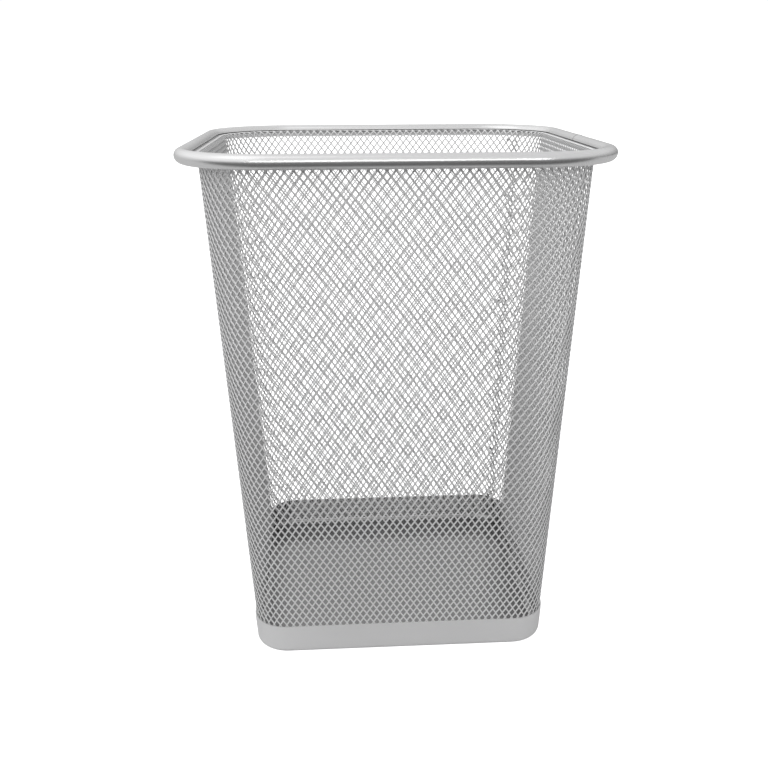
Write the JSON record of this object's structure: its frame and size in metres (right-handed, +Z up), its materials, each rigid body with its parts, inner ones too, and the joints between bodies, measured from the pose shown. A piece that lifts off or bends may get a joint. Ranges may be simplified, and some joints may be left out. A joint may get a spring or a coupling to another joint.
{
  "type": "mesh wastebasket",
  "caption": "Open-top square wastebasket of tapered metal mesh with rounded corners, a rolled rim and a pressed sheet base.",
  "frame": {"origin": "middle of the flat underside of the base pan", "axes": "+Z up through the open mouth; the four sides face +X, -X, +Y and -Y; the lap of the mesh is at the +X +Y corner"},
  "size_m": [0.2415, 0.2414, 0.3041],
  "materials": {
    "mesh_paint": "silver powder coat, satin",
    "rim_paint": "silver powder coat, satin",
    "pan_paint": "silver powder coat, semi-gloss",
    "weld_metal": "weld spots under silver powder coat"
  },
  "bodies": {
    "root": {"mesh_wall": "mesh_paint", "lap_spot_welds": "weld_metal", "rim_channel": "rim_paint", "rim_joint_weld": "weld_metal", "rim_spot_welds": "weld_metal", "base_pan": "pan_paint", "base_spot_welds": "weld_metal"}
  },
  "joints": []
}
